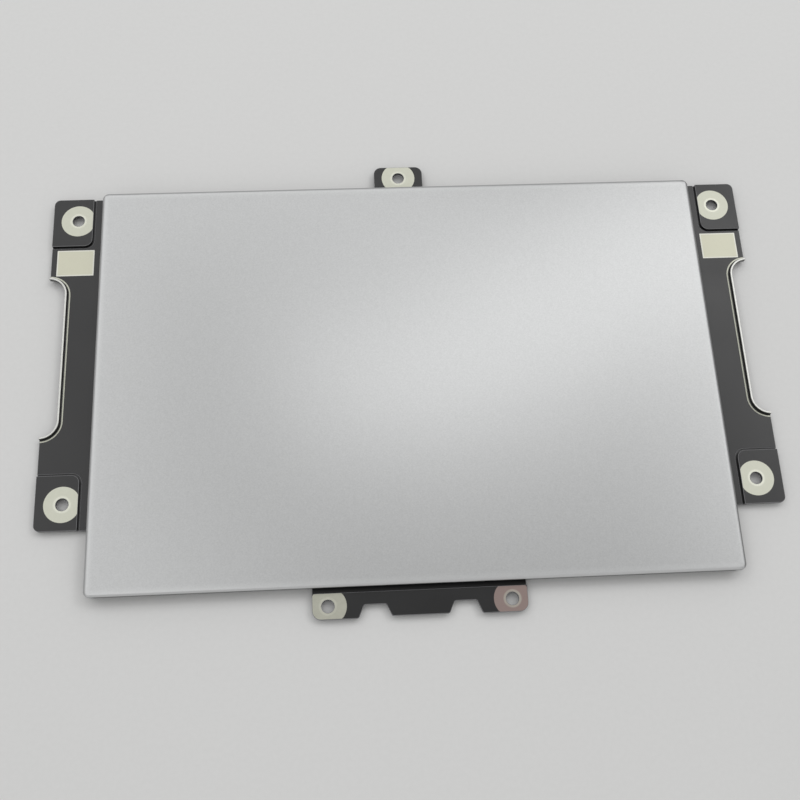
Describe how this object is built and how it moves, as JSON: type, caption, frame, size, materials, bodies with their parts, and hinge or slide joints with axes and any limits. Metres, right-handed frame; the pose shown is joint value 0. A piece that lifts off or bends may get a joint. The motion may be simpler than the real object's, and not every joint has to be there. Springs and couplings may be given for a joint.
{
  "type": "laptop touchpad module",
  "caption": "Flat rectangular touch surface with a click switch, hung on leaf springs in a stamped black steel bracket with screw ears and tabs.",
  "frame": {"origin": "middle of the module in plan, on the underside of the bracket's low rails", "axes": "+X along the touch surface's width, +Y from the click switch to the hinge, +Z out of the touch surface"},
  "size_m": [0.14, 0.092, 0.0033],
  "materials": {
    "coated_steel": "satin black coat, bare nickel-plated steel on the patches",
    "spring_steel": "bare rolled spring steel",
    "rivet_steel": "plain plated steel",
    "bumper_rubber": "matt rubber",
    "cover_silver": "matt silver print with a very fine sparkle",
    "adhesive": "translucent grey adhesive sheet",
    "board_mask": "matt solder mask",
    "carrier_steel": "bare rolled steel sheet",
    "chip_black": "moulded epoxy",
    "tinned_metal": "tinned metal",
    "capacitor_ceramic": "fired ceramic",
    "connector_ivory": "moulded plastic",
    "latch_black": "moulded plastic"
  },
  "bodies": {
    "bracket": {"mounting_bracket": "coated_steel", "hinge_leaf_left": "spring_steel", "hinge_leaf_right": "spring_steel", "bracket_rivets": "rivet_steel", "stop_bumpers": "bumper_rubber"},
    "touch_assembly": {"touch_cover": "cover_silver", "cover_adhesive": "adhesive", "sensor_board": "board_mask", "carrier_adhesive": "adhesive", "carrier_plate": "carrier_steel", "carrier_rivets": "rivet_steel", "touch_controller": "chip_black", "memory_chip": "chip_black", "regulator_body": "chip_black", "regulator_leads": "tinned_metal", "chip_capacitors": "capacitor_ceramic", "chip_resistors": "chip_black", "chip_terminals": "tinned_metal", "connector_housing": "connector_ivory", "connector_contacts": "tinned_metal", "connector_anchors": "tinned_metal", "switch_base": "chip_black", "switch_terminals": "tinned_metal", "switch_dome": "spring_steel", "switch_cover": "carrier_steel"},
    "plunger": {"switch_plunger": "connector_ivory"},
    "latch": {"connector_latch": "latch_black"}
  },
  "joints": [
    {"name": "pad_press", "type": "hinge", "parent": "bracket", "child": "touch_assembly", "pos_m": [0, 0.03, 0.0012], "axis": [1, 0, 0], "range_deg": [0, 0.22], "stiffness_Nm_per_rad": 13, "springref_deg": -0.14, "deforming": ["hinge_leaf_left", "hinge_leaf_right", "switch_dome"]},
    {"name": "plunger_slide", "type": "slide", "parent": "touch_assembly", "child": "plunger", "axis": [0, 0, 1], "range_m": [0, 0.00025]},
    {"name": "latch_flip", "type": "hinge", "parent": "touch_assembly", "child": "latch", "pos_m": [0.008, 0.0122, 0.001], "axis": [-1, 0, 0], "range_deg": [0, 90]}
  ],
  "couplings": [
    {"joint": "plunger_slide", "follows": "pad_press", "m_per_rad": 0.065}
  ]
}
